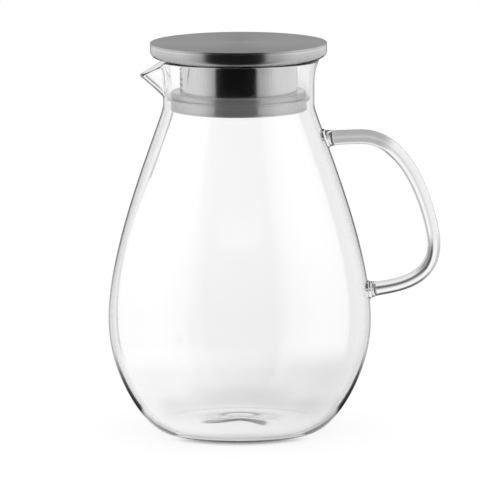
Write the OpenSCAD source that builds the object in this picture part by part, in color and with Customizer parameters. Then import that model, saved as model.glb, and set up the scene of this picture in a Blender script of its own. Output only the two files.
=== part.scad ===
// Glass pitcher with a steel strainer lid.
// The body stands on z = 0 with its axis on Z. The spout points to -X and the handle to +X.

/* [Glass body] */
// Greatest outside diameter of the glass body
body_d = 150; // [140:1:160]
// Height of the greatest diameter above the table
belly_z = 64; // [56:1:72]
// Outside diameter of the ring that the body stands on
foot_d = 86; // [78:1:94]
// Width of the flat ring that touches the table
foot_w = 2; // [1.5:0.5:4]
// Height of the domed underside in the middle
punt_h = 4.2; // [3:0.1:6]
// Thickness of the glass floor
floor_t = 3.2; // [2.6:0.1:4.4]
// Thickness of the glass wall
wall_t = 2; // [1.6:0.1:2.4]
// Outside diameter of the neck
neck_d = 86; // [82:0.5:90]
// Height at which the neck starts to run straight
neck_z = 187; // [183:0.5:189]
// Height of the neck and its lip above that
neck_h = 27.2; // [25:0.1:31]
// Height of the flared lip
flare_h = 17; // [14:0.5:18]
// How far the lip flares out past the neck
flare_w = 2.9; // [2:0.1:3.6]

/* [Spout] */
// Reach of the tip past the straight neck
spout_reach = 12.8; // [10:0.1:15]
// How far the lip drops at the tip
spout_drop = 9; // [6:0.5:11]
// Angle on each side of the tip over which the lip swells out
swell_angle = 20; // [17:0.5:24]
// Angle on each side of the tip over which the lip drops
drop_angle = 27; // [24:0.5:32]
// Height of the spout from its throat to the rim
spout_h = 22; // [18:0.5:24]

/* [Handle] */
// Rod diameter where the handle meets the body
rod_d = 8.4; // [7:0.1:10]
// Rod diameter at the grip
grip_d = 7.3; // [6:0.1:9]
// Distance from the axis to the rod's centre line at the grip
handle_reach = 111; // [104:1:120]
// Height of the rod's centre line along the top
handle_top_z = 168.5; // [164:0.5:172]
// Height of the outermost point of the grip
grip_z = 107; // [100:1:114]
// Height of the rod's centre line where the lower root starts
handle_low_z = 79.3; // [74:0.5:86]
// Upward slope of the lower arm
low_arm_angle = 12; // [8:1:16]
// How much thicker each fused root is than the rod
root_flare = 1.6; // [0.8:0.1:2.4]
// Length over which a root thins down to the rod
root_l = 2.2; // [1.5:0.1:3.5]

/* [Lid] */
// How far the lid reaches past the flared rim
lid_overhang = 4.35; // [3:0.05:6]
// Height of the lid above the rim of the glass
lid_h = 8.3; // [6.5:0.1:11]
// Radius of the rounded lower edge
lid_corner = 3.6; // [2.5:0.1:5]
// Thickness of the flat top plate
plate_t = 1; // [0.8:0.1:1.6]
// Chamfer round the top plate
plate_chamfer = 0.25; // [0.1:0.05:0.5]
// Sheet thickness of the drawn pan
sheet_t = 0.8; // [0.6:0.1:1.2]
// Gap between the rim of the glass and the pan
lid_gap = 0.3; // [0.2:0.1:0.6]

/* [Strainer collar] */
// Height of the collar below the pan
collar_h = 30; // [28:0.5:34]
// Sheet thickness of the collar
collar_t = 0.8; // [0.6:0.1:1.2]
// Width of the turned-out lip at the collar's lower end
collar_lip_w = 1.2; // [0.8:0.1:1.6]
// Diameter of one strainer hole
hole_d = 2.2; // [1.6:0.1:2.6]
// Rows of strainer holes
hole_rows = 5; // [3:1:5]
// Columns of strainer holes
hole_columns = 7; // [3:1:9]
// Height from one row of holes to the next
row_pitch = 3.4; // [3:0.1:3.6]
// Distance round the collar from one column to the next
column_pitch = 3.3; // [3:0.1:4]

/* [Seal ring] */
// Height of the silicone ring
seal_h = 10.6; // [9:0.1:12]
// Wall of the ring's body between the collar and the free space round it
seal_wall = 5; // [4:0.1:6]
// Free space between the ring's body and the neck
seal_room = 2.5; // [1.8:0.1:3.5]
// Free gap between the sealing fin and the neck
fin_gap = 0.2; // [0.1:0.05:0.4]
// Thickness of the sealing fin at its edge
fin_t = 0.9; // [0.7:0.1:1.2]
// How far each fine rib stands out from the ring
rib_w = 0.5; // [0.3:0.1:0.8]
// Gap between the ring and the collar that turns in it
turn_gap = 0.05; // [0.03:0.01:0.1]

/* [Hidden] */

// Colours as the pieces look against white
glass_tint = [0.86, 0.9, 0.91, 0.4];
silicone_tint = [0.88, 0.89, 0.88, 0.9];

// Smoothness of circles, of the long curves and of the short ones
$fn = 128;
curve_steps = 22;
fillet_steps = 8;
// Overrun of every cut
cut = 1;

// Radii and heights that several pieces share
body_r = body_d / 2;
foot_r = foot_d / 2;
neck_r = neck_d / 2;
mouth_r = neck_r - wall_t;
rim_z = neck_z + neck_h;
lid_r = neck_r + flare_w + lid_overhang;
lid_z = rim_z + lid_gap;
seal_r = mouth_r - seal_room;
collar_r = seal_r - seal_wall - turn_gap;
collar_z = lid_z - collar_h;

// Where the plain neck ends and the pulled lip is set on, a seam step inside its wall
lip_z = neck_z + wall_t / 2;
seam_step = 0.04;

// Pulls of the body's curves, as shares of the width or height that each curve spans
foot_pull_share = 0.31;
low_belly_pull_share = 0.47;
high_belly_pull_share = 0.37;
neck_pull_share = 0.057;
floor_pull_shares = [0.2, 0.7];

// Point and direction on a cubic curve
function curve(p, t) =
    (1 - t) ^ 3 * p[0] + 3 * (1 - t) ^ 2 * t * p[1] + 3 * (1 - t) * t ^ 2 * p[2] + t ^ 3 * p[3];
function heading(p, t) =
    (1 - t) ^ 2 * (p[1] - p[0]) + 2 * (1 - t) * t * (p[2] - p[1]) + t ^ 2 * (p[3] - p[2]);
// Turns an outline's direction to point towards the axis
function inward(d) = [-d[1], d[0]] / norm(d);

// Outside of the body from the foot to the belly and from the belly to the neck
low_curve = [
    [foot_r, 0],
    [foot_r + foot_pull_share * (body_r - foot_r), 0],
    [body_r, low_belly_pull_share * belly_z],
    [body_r, belly_z]
];
high_curve = [
    [body_r, belly_z],
    [body_r, belly_z + high_belly_pull_share * (neck_z - belly_z)],
    [neck_r, neck_z - neck_pull_share * (neck_z - belly_z)],
    [neck_r, neck_z]
];
low_outside = [for (i = [0 : curve_steps]) curve(low_curve, i / curve_steps)];
high_outside = [for (i = [1 : curve_steps]) curve(high_curve, i / curve_steps)];
body_outside = concat(low_outside, high_outside, [[neck_r, lip_z]]);

// The wall thickens from the belly down to the floor
function wall_at(t) = wall_t + (floor_t - wall_t) * (1 - t) ^ 2;
low_inside = [for (i = [0 : curve_steps])
    let (t = i / curve_steps)
    curve(low_curve, t) + wall_at(t) * inward(heading(low_curve, t))];
high_inside = [for (i = [1 : curve_steps])
    let (t = i / curve_steps)
    curve(high_curve, t) + wall_t * inward(heading(high_curve, t))];

// Domes of the underside and the floor, from the middle outwards; the glass is thinnest on top of them
crest_share = 0.75;
function dome(r, low, high) = [
    [0, high],
    [floor_pull_shares[0] * r, high],
    [(1 - floor_pull_shares[1]) * r, low],
    [r, low]
];
under_r = foot_r - foot_w;
underside = [for (i = [0 : fillet_steps * 2]) curve(dome(under_r, 0, punt_h), i / (fillet_steps * 2))];
floor_top = [for (i = [0 : fillet_steps * 2 - 1])
    curve(dome(foot_r, floor_t, punt_h + crest_share * floor_t), i / (fillet_steps * 2))];

function reversed(list) = [for (i = [len(list) - 1 : -1 : 0]) list[i]];

// Radius of the body's outside at a height
function outside_r(z) = lookup(z, [for (p = body_outside) [p[1], p[0]]]);

// Middle line of the neck and its flared lip, u from 0 at the seam to 1 at the rim
neck_share = 0.35;
flare_bend_share = 0.5;
flare_end_share = 0.33;
mid_r = neck_r - wall_t / 2;
flare_z = rim_z - flare_h;
flare_curve = [
    [mid_r, flare_z],
    [mid_r, flare_z + flare_h * flare_bend_share],
    [mid_r + flare_w * flare_end_share, rim_z - flare_h * flare_end_share],
    [mid_r + flare_w, rim_z - wall_t / 2]
];
function neck_mid(u) = u < neck_share
    ? [mid_r, lip_z + (flare_z - lip_z) * u / neck_share]
    : curve(flare_curve, (u - neck_share) / (1 - neck_share));

// Swell of the spout at an angle from its tip, and its straight throat with a soft start
function swell(a, width) = abs(a) < width ? cos(90 * a / width) ^ 2 : 0;
throat_share = 0.08;
function throat(s) = s ^ 2 / (s + throat_share) * (1 + throat_share);
throat_z = rim_z - spout_h;
function lip_mid(u, a) =
    let (p = neck_mid(u))
    let (s = max(0, (p[1] - throat_z) / (rim_z - wall_t / 2 - throat_z)))
    let (w = swell(a, swell_angle))
    let (r = p[0] * (1 - w) + w * (mid_r + spout_reach * throat(s)))
    let (z = p[1] - spout_drop * swell(a, drop_angle) * s)
    [-r * cos(a), -r * sin(a), z];

// Small steps in u and in angle that give the lip's directions
u_step = 0.002;
a_step = 0.2;
function unit(v) = v / norm(v);
function along(u, a) = u < 0.5
    ? unit(lip_mid(u + u_step, a) - lip_mid(u, a))
    : unit(lip_mid(u, a) - lip_mid(u - u_step, a));
function across(u, a) = unit(lip_mid(u, a + a_step) - lip_mid(u, a - a_step));
function outward(u, a) = unit(cross(across(u, a), along(u, a)));

// One closed section of the lip: outside up, round the rim, inside down
lip_rows = 11;
bead_steps = 4;
lip_half = wall_t / 2 - seam_step;
function lip_section(a) = concat(
    [for (i = [0 : lip_rows])
        let (u = i / lip_rows)
        lip_mid(u, a) + lip_half * outward(u, a)],
    [for (i = [1 : bead_steps - 1])
        let (turn = 180 * i / bead_steps)
        lip_mid(1, a) + lip_half * (cos(turn) * outward(1, a) + sin(turn) * along(1, a))],
    [for (i = [lip_rows : -1 : 0])
        let (u = i / lip_rows)
        lip_mid(u, a) - lip_half * outward(u, a)]
);

// Sections stand closer together across the spout than round the rest of the lip
spout_sections = 28;
plain_sections = 58;
lip_angles = concat(
    [for (i = [0 : spout_sections - 1]) -drop_angle + 2 * drop_angle * i / spout_sections],
    [for (i = [0 : plain_sections - 1])
        drop_angle + (360 - 2 * drop_angle) * i / plain_sections]
);

// Triangles between neighbouring rings of points, wrapped both ways or capped at the ends
function quad(a, b, c, d) = [[a, b, c], [a, c, d]];
function skin(rings, sides, wrapped) = [
    for (i = [0 : rings - (wrapped ? 1 : 2)], j = [0 : sides - 1])
        let (next = (i + 1) % rings, right = (j + 1) % sides)
        each quad(i * sides + j, i * sides + right, next * sides + right, next * sides + j)
];

// Centre line of the handle in the XZ plane, from inside the upper root to inside the lower one,
// where it runs on straight for a rod's width.
// The pulls of its bends are shares of the span or of the rod that each one follows.
straight_share = 0.84;
top_bend_share = 0.73;
low_bend_share = 0.32;
root_drop_share = 0.25;
high_grip_pull_share = 1.23;
low_grip_pull_share = 0.23;
low_root_share = 0.83;
straight_x = neck_r + (body_r - neck_r) * straight_share;
root_drop = rod_d * root_drop_share;
low_start = [body_r - rod_d * low_root_share, handle_low_z];
low_dir = [cos(low_arm_angle), sin(low_arm_angle)];
handle_curves = [
    [
        [mid_r - wall_t, handle_top_z - root_drop],
        [neck_r + rod_d, handle_top_z - root_drop / 4],
        [straight_x - rod_d, handle_top_z],
        [straight_x, handle_top_z]
    ],
    [
        [straight_x, handle_top_z],
        [straight_x + top_bend_share * (handle_reach - straight_x), handle_top_z],
        [handle_reach, grip_z + grip_d * high_grip_pull_share],
        [handle_reach, grip_z]
    ],
    [
        [handle_reach, grip_z],
        [handle_reach, handle_low_z + grip_d * low_grip_pull_share],
        low_start + low_bend_share * (handle_reach - low_start[0]) * low_dir,
        low_start
    ],
    [for (i = [0 : 3]) low_start - rod_d * i / 3 * low_dir]
];
handle_steps = [10, 16, 14, 4];
handle_stations = concat(
    [for (k = [0 : 3], i = [0 : handle_steps[k] - 1])
        let (t = i / handle_steps[k])
        [curve(handle_curves[k], t), unit(heading(handle_curves[k], t))]],
    [[curve(handle_curves[3], 1), unit(heading(handle_curves[3], 1))]]
);

// The rod is thinnest at the grip and flares where it is fused to the body
grip_span = handle_top_z - grip_z;
function rod_r(p) =
    let (away = min(1, abs(p[1] - grip_z) / grip_span))
    let (clear = max(0, p[0] - outside_r(p[1])))
    grip_d / 2 + (rod_d - grip_d) / 2 * away + root_flare * exp(-clear / root_l);
rod_sides = 24;
function rod_ring(s) =
    let (p = s[0], side = inward(s[1]), r = rod_r(s[0]))
    [for (j = [0 : rod_sides - 1])
        let (turn = 360 * j / rod_sides)
        [p[0] + r * cos(turn) * side[0], r * sin(turn), p[1] + r * cos(turn) * side[1]]];

// Filled shape of the body's outside with its neck and lip, which trims the handle's roots
module body_blank() {
    neck_outside = [for (i = [1 : lip_rows]) neck_mid(i / lip_rows) + [wall_t / 2, 0]];
    rotate_extrude() polygon(concat([[0, 0]], body_outside, neck_outside, [[0, rim_z]]));
}

// Blown body up to the seam: outside, seam ring, inside, floor and domed underside
module blown_body() {
    rotate_extrude() polygon(concat(
        underside,
        body_outside,
        [[mouth_r, lip_z]],
        reversed(high_inside),
        reversed(low_inside),
        reversed(floor_top)
    ));
}

// Neck's upper part with its flared rim and the pulled spout
module pulled_lip() {
    sections = [for (a = lip_angles) lip_section(a)];
    sides = len(sections[0]);
    polyhedron(points = [for (s = sections) each s], faces = skin(len(sections), sides, true));
}

module glass_body() {
    color(glass_tint) {
        blown_body();
        pulled_lip();
    }
}

// Drawn rod, bent to a loop and fused to the body at both ends
module glass_handle() {
    rings = [for (s = handle_stations) rod_ring(s)];
    last = (len(rings) - 1) * rod_sides;
    caps = concat(
        [for (j = [1 : rod_sides - 2]) [0, j + 1, j]],
        [for (j = [1 : rod_sides - 2]) [last, last + j, last + j + 1]]
    );
    color(glass_tint) difference() {
        polyhedron(
            points = [for (r = rings) each r],
            faces = concat(skin(len(rings), rod_sides, false), caps)
        );
        body_blank();
    }
}

// Quarter turn of points round a corner, from angle a0 to a1
function corner(cx, cz, r, a0, a1) = [for (i = [0 : fillet_steps])
    let (a = a0 + (a1 - a0) * i / fillet_steps)
    [cx + r * cos(a), cz + r * sin(a)]];

// Flat brushed plate that closes the pan from above
module lid_top_plate() {
    color("silver") translate([0, 0, lid_z + lid_h - plate_t]) rotate_extrude() polygon([
        [0, 0],
        [lid_r, 0],
        [lid_r, plate_t - plate_chamfer],
        [lid_r - plate_chamfer, plate_t],
        [0, plate_t]
    ]);
}

// Drawn pan that makes the underside, the rounded lower edge and the side of the lid
module lid_pan() {
    side_z = lid_h - plate_t;
    color("silver") translate([0, 0, lid_z]) rotate_extrude() polygon(concat(
        [[0, 0]],
        corner(lid_r - lid_corner, lid_corner, lid_corner, -90, 0),
        [[lid_r, side_z], [lid_r - sheet_t, side_z]],
        corner(lid_r - lid_corner, lid_corner, lid_corner - sheet_t, 0, -90),
        [[0, sheet_t]]
    ));
}

// Steel tube under the pan, with its strainer facing the spout and a lip that holds the seal
first_row_z = lid_z - row_pitch - hole_d / 2;
module strainer_collar() {
    lip_r = collar_r + collar_lip_w;
    color("silver") difference() {
        translate([0, 0, collar_z]) rotate_extrude() polygon([
            [collar_r - collar_t, 0],
            [lip_r, 0],
            [lip_r, collar_t],
            [collar_r, collar_t],
            [collar_r, collar_h],
            [collar_r - collar_t, collar_h]
        ]);
        for (row = [0 : hole_rows - 1], column = [0 : hole_columns - 1])
            rotate([0, 0, 180 + (column - (hole_columns - 1) / 2) * column_pitch / collar_r * 180 / PI])
                translate([collar_r - collar_t - cut, 0, first_row_z - row * row_pitch])
                    rotate([0, 90, 0])
                        cylinder(d = hole_d, h = collar_t + 2 * cut, $fn = 24);
    }
}

// Silicone ring with one broad sealing fin and fine ribs below it, recessed for the collar's lip
fin_share = 0.66;
rib_shares = [0.11, 0.24, 0.37];
module seal_ring() {
    bore_r = collar_r + turn_gap;
    recess_r = collar_r + collar_lip_w + turn_gap;
    recess_h = collar_t + turn_gap;
    fin_r = mouth_r - fin_gap;
    fin_z = fin_share * seal_h;
    edge = fin_t / 2;
    ribs = [for (share = rib_shares)
        let (z = share * seal_h)
        each [[seal_r, z - edge], [seal_r + rib_w, z], [seal_r, z + edge]]];
    color(silicone_tint) translate([0, 0, collar_z]) rotate_extrude() polygon(concat(
        [[recess_r, 0], [seal_r - edge, 0], [seal_r, edge]],
        ribs,
        [
            [seal_r, fin_z - fin_t],
            [fin_r, fin_z - edge],
            [fin_r, fin_z + edge],
            [seal_r, fin_z + fin_t],
            [seal_r, seal_h - edge],
            [seal_r - edge, seal_h],
            [bore_r, seal_h],
            [bore_r, recess_h],
            [recess_r, recess_h]
        ]
    ));
}

glass_body();
glass_handle();
lid_top_plate();
lid_pan();
strainer_collar();
seal_ring();
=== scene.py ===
"""Glass pitcher with a steel strainer lid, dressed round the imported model.

Every length is in metres. The body stands on z = 0, the spout points to -X and the handle to +X.
"""

import bisect
import logging
import math
from dataclasses import dataclass
from enum import Enum

import bmesh
import bpy
from bmesh.types import BMEdge, BMesh, BMVert
from bpy.types import Material, Node, NodeSocket, NodeTree, Object
from mathutils import Matrix, Vector


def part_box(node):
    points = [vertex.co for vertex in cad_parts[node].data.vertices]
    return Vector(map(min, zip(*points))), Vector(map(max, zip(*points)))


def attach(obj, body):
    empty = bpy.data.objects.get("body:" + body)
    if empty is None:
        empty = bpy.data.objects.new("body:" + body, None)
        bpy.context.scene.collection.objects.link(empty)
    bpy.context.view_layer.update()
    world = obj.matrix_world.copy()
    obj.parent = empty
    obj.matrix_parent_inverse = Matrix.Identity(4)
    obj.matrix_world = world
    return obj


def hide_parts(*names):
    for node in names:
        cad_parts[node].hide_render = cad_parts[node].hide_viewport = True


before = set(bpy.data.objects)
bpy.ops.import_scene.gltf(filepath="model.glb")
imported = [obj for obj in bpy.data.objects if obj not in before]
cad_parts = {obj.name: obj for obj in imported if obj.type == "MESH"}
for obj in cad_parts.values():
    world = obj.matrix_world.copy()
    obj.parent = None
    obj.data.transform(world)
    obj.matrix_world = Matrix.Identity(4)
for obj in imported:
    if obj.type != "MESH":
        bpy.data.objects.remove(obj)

MM = 0.001
DEGREES = 180 / math.pi
SAME_PLACE = 1e-6
Span = tuple[float, float]
Stripes = tuple[Span, ...]
log = logging.getLogger("pitcher")


class Rides(Enum):
    """The moving bodies that a piece can ride on."""

    PITCHER = "pitcher"
    SEAL = "seal"
    LID = "lid"


class Slot(Enum):
    """The material slots that the record names."""

    GLASS = "clear_glass"
    ROD = "handle_glass"
    LID_TOP = "lid_top_steel"
    LID_SIDE = "lid_side_steel"
    COLLAR = "collar_steel"
    SILICONE = "silicone"


def smoothly(share: float) -> float:
    """Eases a share from 0 to 1, level at both ends."""
    return share * share * (3 - 2 * share)


@dataclass(frozen=True)
class Bend:
    """A cubic curve, given by its two ends and the two points that pull it."""

    start: Vector
    pull_out: Vector
    pull_in: Vector
    end: Vector

    def at(self, t: float) -> Vector:
        """Returns the point at t, which goes from 0 at the start to 1 at the end."""
        s = 1 - t
        return s**3 * self.start + 3 * s * t * (s * self.pull_out + t * self.pull_in) + t**3 * self.end

    def beside(self, t: float, off: float) -> Vector:
        """Finds a point at a distance from the curve, on its left.

        Args:
            t: Place along the curve, 0 at the start and 1 at the end.
            off: Distance from the curve.

        Returns:
            The point.
        """
        s = 1 - t
        first = self.pull_out - self.start
        middle = self.pull_in - self.pull_out
        last = self.end - self.pull_in
        way = (s**2 * first + 2 * s * t * middle + t**2 * last).normalized()
        return self.at(t) + off * Vector((-way.y, way.x))

    def places(self, steps: int) -> list[Vector]:
        """Returns the points at even steps of t, both ends included."""
        return [self.at(i / steps) for i in range(steps + 1)]


def bend(*points: Span | Vector) -> Bend:
    """Makes a curve of its start, its two pulling points and its end."""
    return Bend(*(Vector(point) for point in points))


def corner(centre: Span, radius: float, start: float, end: float, steps: int) -> list[Span]:
    """Lays points round an arc, from its start to its end angle in degrees, both included."""
    angles = [math.radians(start + (end - start) * i / steps) for i in range(steps + 1)]
    return [(centre[0] + radius * math.cos(a), centre[1] + radius * math.sin(a)) for a in angles]


def chain(bm: BMesh, points: list[Vector], closed: bool = False) -> tuple[list[BMVert], list[BMEdge]]:
    """Joins points by edges.

    Args:
        bm: The mesh that gets them.
        points: Places in order.
        closed: Whether an edge joins the last point to the first.

    Returns:
        The vertices and the edges, in order.
    """
    verts = [bm.verts.new(point) for point in points]
    edges = [bm.edges.new(pair) for pair in zip(verts, verts[1:])]
    if closed:
        edges.append(bm.edges.new((verts[-1], verts[0])))
    return verts, edges


def grown(bm: BMesh, edges: list[BMEdge]) -> tuple[list[BMVert], list[BMEdge]]:
    """Extrudes edges where they are.

    Args:
        bm: The mesh.
        edges: The edges that grow.

    Returns:
        The new vertices, and the new edges between them.
    """
    made = bmesh.ops.extrude_edge_only(bm, edges=edges)["geom"]
    verts = [part for part in made if isinstance(part, BMVert)]
    new_edges = [part for part in made if isinstance(part, BMEdge)]
    return verts, [edge for edge in new_edges if all(vert in verts for vert in edge.verts)]


def circle(bm: BMesh, sides: int, radius: float, place: Matrix) -> tuple[list[BMVert], list[BMEdge]]:
    """Adds a circle and returns its vertices and its edges."""
    verts = bmesh.ops.create_circle(bm, segments=sides, radius=radius, matrix=place)["verts"]
    return verts, list({edge for vert in verts for edge in vert.link_edges})


def turn_outline(bm: BMesh, geometry: list, sectors: list[tuple[float, int]]) -> None:
    """Spins an outline all the way round Z, sector by sector, and closes the surface.

    Args:
        bm: The mesh that holds the outline.
        geometry: The outline's vertices and edges.
        sectors: Angle of each sector in degrees, and its number of steps. The angles add up to 360.
    """
    for angle, steps in sectors:
        made = bmesh.ops.spin(
            bm,
            geom=geometry,
            cent=(0, 0, 0),
            axis=(0, 0, 1),
            angle=math.radians(angle),
            steps=steps,
            use_merge=len(sectors) == 1,
            use_duplicate=False,
        )
        geometry = made["geom_last"]
    bmesh.ops.remove_doubles(bm, verts=bm.verts, dist=SAME_PLACE)
    bmesh.ops.recalc_face_normals(bm, faces=bm.faces)


def spun(outline: list[Span], steps: int = 160) -> BMesh:
    """Turns an outline into a closed round piece.

    Args:
        outline: Points as (radius, height), in order. It may start and end on the axis.
        steps: Number of steps in the full turn.

    Returns:
        The mesh.
    """
    bm = bmesh.new()
    on_axis = outline[0][0] < SAME_PLACE and outline[-1][0] < SAME_PLACE
    verts, edges = chain(bm, [Vector((r, 0, z)) for r, z in outline], closed=not on_axis)
    turn_outline(bm, verts + edges, [(360, steps)])
    return bm


def placed(bm: BMesh, name: str, material: Material) -> Object:
    """Makes a mesh an object at the origin.

    Args:
        bm: The mesh, in its place. It is freed.
        name: Name of the new object.
        material: Its finish.

    Returns:
        The object.
    """
    mesh = bpy.data.meshes.new(name)
    bm.to_mesh(mesh)
    bm.free()
    mesh.materials.append(material)
    piece = bpy.data.objects.new(name, mesh)
    bpy.context.scene.collection.objects.link(piece)
    return piece


def finished(
    bm: BMesh, name: str, node: str, body: Rides, material: Material, crease: float = 38
) -> Object:
    """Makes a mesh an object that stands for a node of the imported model.

    Args:
        bm: The mesh, in its place. It is freed.
        name: Name of the new piece.
        node: The node that it replaces.
        body: The body that it rides on.
        material: Its finish.
        crease: Angle in degrees above which an edge stays sharp.

    Returns:
        The object.
    """
    piece = placed(bm, name, material)
    piece.data.shade_smooth()
    piece.data.set_sharp_from_angle(angle=math.radians(crease))
    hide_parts(node)
    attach(piece, body.value)
    log.info("%s: %d faces, for %s", name, len(piece.data.polygons), node)
    return piece


class Wire:
    """A number that a node tree carries, with the arithmetic of Python."""

    def __init__(self, bench: "Bench", socket: NodeSocket) -> None:
        """Wraps an output socket of the bench's tree."""
        self.bench = bench
        self.socket = socket

    def __add__(self, other: "Wire | float") -> "Wire":
        """Adds."""
        return self.bench.maths("ADD", self, other)

    def __radd__(self, other: float) -> "Wire":
        """Adds to a number."""
        return self.bench.maths("ADD", other, self)

    def __sub__(self, other: "Wire | float") -> "Wire":
        """Subtracts."""
        return self.bench.maths("SUBTRACT", self, other)

    def __rsub__(self, other: float) -> "Wire":
        """Subtracts from a number."""
        return self.bench.maths("SUBTRACT", other, self)

    def __mul__(self, other: "Wire | float") -> "Wire":
        """Multiplies."""
        return self.bench.maths("MULTIPLY", self, other)

    def __rmul__(self, other: float) -> "Wire":
        """Multiplies a number."""
        return self.bench.maths("MULTIPLY", other, self)

    def __truediv__(self, other: "Wire | float") -> "Wire":
        """Divides."""
        return self.bench.maths("DIVIDE", self, other)

    def __neg__(self) -> "Wire":
        """Changes the sign."""
        return self.bench.maths("MULTIPLY", self, -1)

    def __abs__(self) -> "Wire":
        """Drops the sign."""
        return self.bench.maths("ABSOLUTE", self)

    def __gt__(self, limit: float) -> "Wire":
        """Is 1 above a limit and 0 elsewhere."""
        return self.bench.maths("GREATER_THAN", self, limit)

    def __lt__(self, limit: float) -> "Wire":
        """Is 1 below a limit and 0 elsewhere."""
        return self.bench.maths("LESS_THAN", self, limit)

    def towards(self, other: "Wire | float", share: "Wire") -> "Wire":
        """Goes to another number by a share."""
        return self * (1 - share) + other * share


class Bench:
    """Adds nodes to one node tree."""

    def __init__(self, tree: NodeTree) -> None:
        """Clears the tree and keeps it."""
        tree.nodes.clear()
        self.tree = tree

    def node(self, kind: str, settings: dict | None = None, sockets: dict | None = None) -> Node:
        """Adds a node.

        Args:
            kind: Type of the node, without its Shader prefix.
            settings: Its properties, set before its sockets. The stops of a ramp are (place, grey) pairs.
            sockets: Values or links of its input sockets, by name or number.

        Returns:
            The node.
        """
        made = self.tree.nodes.new("ShaderNode" + kind)
        for name, value in (settings or {}).items():
            if name == "stops":
                self._set_stops(made.color_ramp, value)
            else:
                setattr(made, name, value)
        for name, value in (sockets or {}).items():
            source = value.socket if isinstance(value, Wire) else value
            if isinstance(source, NodeSocket):
                self.tree.links.new(source, made.inputs[name])
            else:
                made.inputs[name].default_value = source
        return made

    def _set_stops(self, ramp: bpy.types.ColorRamp, stops: list[Span]) -> None:
        """Gives a ramp its stops, each a place and a grey."""
        while len(ramp.elements) < len(stops):
            ramp.elements.new(1)
        for element, (place, grey) in zip(ramp.elements, stops):
            element.position = place
            element.color = grey_colour(grey)

    def wire(self, node: Node, output: str | int = 0) -> Wire:
        """Wraps one output of a node."""
        return Wire(self, node.outputs[output])

    def maths(self, operation: str, *values: Wire | float) -> Wire:
        """Adds a Math node and returns its result."""
        return self.wire(self.node("Math", {"operation": operation}, dict(enumerate(values))))

    def fade(self, value: Wire, start: Wire | float, end: Wire | float) -> Wire:
        """Goes smoothly from 0 at start to 1 at end, whichever of the two is greater."""
        sockets = {"Value": value, "From Min": start, "From Max": end}
        return self.wire(self.node("MapRange", {"interpolation_type": "SMOOTHSTEP"}, sockets))

    def length(self, x: Wire, y: Wire) -> Wire:
        """Returns the length of (x, y)."""
        return self.maths("SQRT", x * x + y * y)

    def place(self, output: str = "Object") -> NodeSocket:
        """Returns the point that is shaded."""
        return self.node("TexCoord").outputs[output]

    def split(self, vector: NodeSocket) -> tuple[Wire, Wire, Wire]:
        """Returns the three parts of a vector."""
        node = self.node("SeparateXYZ", sockets={0: vector})
        return tuple(self.wire(node, i) for i in range(3))

    def joined(self, x: Wire, y: Wire, z: Wire | float) -> NodeSocket:
        """Makes a vector of three numbers."""
        return self.node("CombineXYZ", sockets={0: x, 1: y, 2: z}).outputs[0]

    def ray(self, output: str) -> Wire:
        """Returns what the Light Path node says of the ray."""
        return self.wire(self.node("LightPath"), output)

    def facing(self) -> Wire:
        """Is 0 where the surface faces the ray and 1 where the ray grazes it."""
        return self.wire(self.node("LayerWeight", sockets={"Blend": 0.5}), "Facing")

    def noise(self, place: NodeSocket, scale: float, detail: float = 3) -> Wire:
        """Adds a noise texture and returns its grey, which keeps round 0.5."""
        sockets = {"Vector": place, "Scale": scale, "Detail": detail}
        return self.wire(self.node("TexNoise", sockets=sockets))

    def stripes(self, stripes: Stripes, value: Wire, low: float, high: float) -> Wire:
        """Reads a grey off a row of stripes.

        Args:
            stripes: Pairs of a place and the grey there.
            value: The place that is read.
            low: Place at which the row starts.
            high: Place at which it ends.

        Returns:
            The grey, which changes evenly between the stripes.
        """
        stops = [((place - low) / (high - low), grey) for place, grey in stripes]
        return self.wire(self.node("ValToRGB", {"stops": stops}, {0: (value - low) / (high - low)}))

    def grey(self, value: Wire) -> NodeSocket:
        """Makes a grey colour of a number."""
        return self.node("CombineColor", sockets={0: value, 1: value, 2: value}).outputs[0]

    def bump(self, height: Wire, strength: float, distance: float) -> NodeSocket:
        """Returns the normal of a bumpy skin."""
        sockets = {"Strength": strength, "Distance": distance, "Height": height}
        return self.node("Bump", sockets=sockets).outputs[0]

    def shader(self, kind: str, sockets: dict) -> NodeSocket:
        """Adds a shader and returns its output."""
        return self.node(kind, sockets=sockets).outputs[0]

    def clear(self, grey: float = 1) -> NodeSocket:
        """Adds a shader that lets rays through straight, darker by a grey."""
        return self.shader("BsdfTransparent", {"Color": grey_colour(grey)})

    def principled(self, level: Wire, rough: Wire | float, normal: NodeSocket, others: dict) -> NodeSocket:
        """Adds a Principled shader of a grey, a roughness, a normal and other sockets."""
        sockets = {"Base Color": self.grey(level), "Roughness": rough, "Normal": normal}
        return self.shader("BsdfPrincipled", sockets | others)

    def mixed(self, share: Wire, first: NodeSocket, second: NodeSocket) -> NodeSocket:
        """Mixes two shaders by a share of the second."""
        return self.shader("MixShader", {0: share, 1: first, 2: second})

    def output(self, shader: NodeSocket, kind: str = "OutputMaterial") -> None:
        """Sends a shader to the tree's output."""
        self.node(kind, sockets={"Surface": shader})


def new_material(name: str) -> tuple[Material, Bench]:
    """Makes an empty material and the bench for its nodes."""
    material = bpy.data.materials.new(name)
    material.use_nodes = True
    return material, Bench(material.node_tree)


def grey_colour(value: float) -> tuple[float, float, float, float]:
    """Returns a grey as a colour."""
    return (value, value, value, 1.0)


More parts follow.
